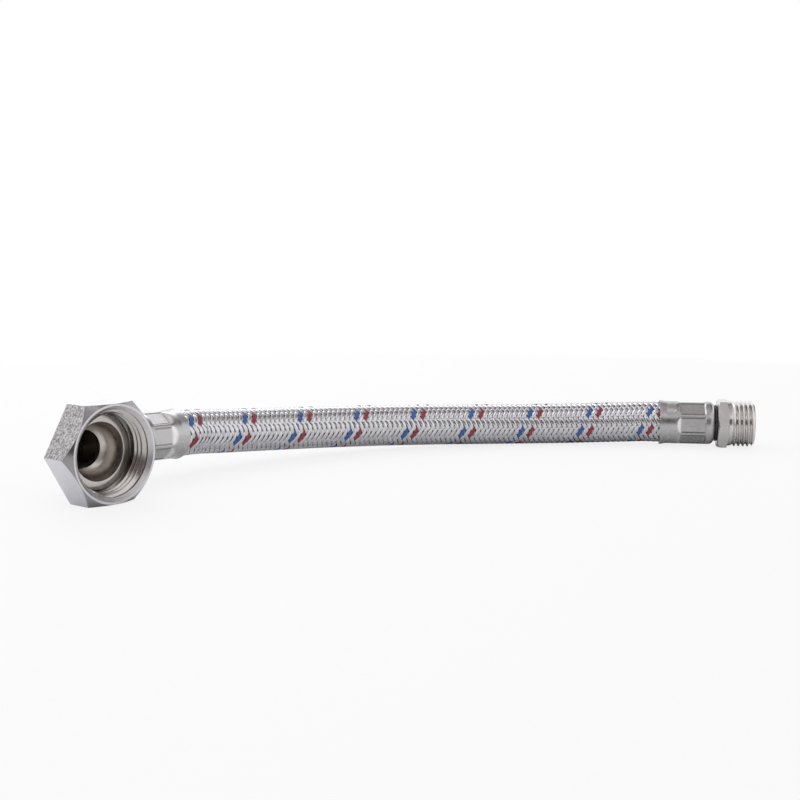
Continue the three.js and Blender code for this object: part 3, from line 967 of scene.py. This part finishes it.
def seen_directly(tree):
    """1 for what the camera sees, also in metal, and 0 for light on the object."""
    path = tree.nodes.new("ShaderNodeLightPath")
    out = path.outputs["Is Camera Ray"]
    for ray in ("Is Glossy Ray", "Is Transmission Ray"):
        either = tree.nodes.new("ShaderNodeMath")
        either.operation = "MAXIMUM"
        tree.links.new(out, either.inputs[0])
        tree.links.new(path.outputs[ray], either.inputs[1])
        out = either.outputs[0]
    return out


def studio():
    """The floor, the world and the lamps."""
    bm = bmesh.new()
    bmesh.ops.create_grid(bm, x_segments=1, y_segments=1, size=4)
    mesh = bpy.data.meshes.new("floor")
    bm.to_mesh(mesh)
    bm.free()
    floor = bpy.data.objects.new("floor", mesh)
    bpy.context.scene.collection.objects.link(floor)
    look = Look("white_floor", (0.97, 0.97, 0.97), 0.6, 0)
    look.roughen(look.noise(4), 0.55, 0.65)
    glow = look.node("ShaderNodeEmission", Strength=1)
    mixed = look.node("ShaderNodeMixShader")
    coords = look.node("ShaderNodeTexCoord").outputs["Object"]
    away = look.node("ShaderNodeVectorMath", operation="LENGTH")
    look.link(coords, away.inputs[0])
    camera_ray = look.node("ShaderNodeLightPath").outputs["Is Camera Ray"]
    near = look.spread(camera_ray, 0, FLOOR_GLOW, 0, 1)
    far = look.spread(away.outputs["Value"], 0, 1, *SHADED_FLOOR)
    glowing = look.node("ShaderNodeMath", operation="MAXIMUM")
    look.link(near, glowing.inputs[0])
    look.link(far, glowing.inputs[1])
    share = look.node("ShaderNodeMath", operation="MULTIPLY")
    look.link(glowing.outputs["Value"], share.inputs[0])
    look.link(seen_directly(look.tree), share.inputs[1])
    look.link(share.outputs["Value"], mixed.inputs["Fac"])
    look.link(look.shader.outputs["BSDF"], mixed.inputs[1])
    look.link(glow.outputs["Emission"], mixed.inputs[2])
    look.link(mixed.outputs["Shader"], look.tree.nodes["Material Output"].inputs["Surface"])
    mesh.materials.append(look.material)

    world = bpy.data.worlds.new("studio")
    bpy.context.scene.world = world
    world.use_nodes = True
    tree = world.node_tree
    background = tree.nodes["Background"]
    background.inputs["Color"].default_value = (1, 1, 1, 1)
    strength = tree.nodes.new("ShaderNodeMapRange")
    strength.inputs["To Min"].default_value = WORLD_LIGHT
    strength.inputs["To Max"].default_value = 1
    tree.links.new(seen_directly(tree), strength.inputs["Value"])
    tree.links.new(strength.outputs["Result"], background.inputs["Strength"])
    bpy.context.scene.view_settings.view_transform = "Standard"

    lamp("back_softbox", (330, 500, 560), (1000, 420), 1.6)
    lamp("top_softbox", (60, -60, 800), (300, 240), 0.2)
    card("camera_side_card", (-430, -560, 160), (1000, 640), STUDIO_AIM, (0.12, 0.1, 0.09))
    card("right_card", (620, -180, 470), (460, 300), (100, 0, 20), (0.16, 0.14, 0.13))
    card("high_front_card", (-180, -470, 820), (640, 420), (-180, -470, 0), (0.5, 0.48, 0.48))
    card("overhead_card", (450, -200, 820), (620, 900), (450, -200, 0), (0.42, 0.4, 0.4))


# The object

add_camera()
route = Route()

metal = nickel_machined("nickel_machined", (0.6, 0.57, 0.55))
# A darker copy of the machined nickel for the nut's front bevel: painted shade
shaded_bevel_metal = nickel_machined("nickel_bevel_painted_shade", (0.38, 0.37, 0.38))
union_nut(metal, nickel_coarse(), nickel_smooth(), nickel_satin(), shaded_bevel_metal)
elbow(metal, nickel_inside_painted_light())
sleeve = sleeve_steel()
ferrule(
    "elbow_sleeve", OUTLET_PLACE, ELBOW_FLAT_TURN, ELBOW_SLEEVE_MOUTH, ELBOW_SLOPE,
    "elbow_ferrule", sleeve,
)
ferrule("male_sleeve", MALE_END_PLACE, MALE_FLAT_TURN, 0, MALE_SLOPE, "male_ferrule", sleeve)
ring = black_ring(rubber("ring_rubber", (0.03, 0.027, 0.032), (0.06, 0.055, 0.065), 0.5))
fitting, thread = male_fitting(nickel_machined("nickel_pale", (0.74, 0.72, 0.71)))

wire = braid_wire()
tube = liner(route, rubber("liner_rubber", (0.02, 0.02, 0.022), (0.045, 0.045, 0.05), 0.55))
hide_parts("hose_liner")
blue_carrier, red_carrier = 0, CARRIERS - 2
plain = [k for k in range(CARRIERS) if k not in (blue_carrier, red_carrier)]
right_hand = woven("braid_right_hand", route, 1, plain, wire)
half = CARRIERS // 2
left_first = woven("braid_left_hand_first", route, -1, range(half), wire)
left_second = woven("braid_left_hand_second", route, -1, range(half, CARRIERS), wire)
blue_yarn = tracer("tracer_blue", (0.02, 0.07, 0.27), (0.06, 0.19, 0.52))
blue = woven("braid_blue", route, 1, [blue_carrier], blue_yarn)
red_yarn = tracer("tracer_red", (0.2, 0.02, 0.03), (0.42, 0.06, 0.08))
red = woven("braid_red", route, 1, [red_carrier], red_yarn)
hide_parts("hose_braid")

studio()
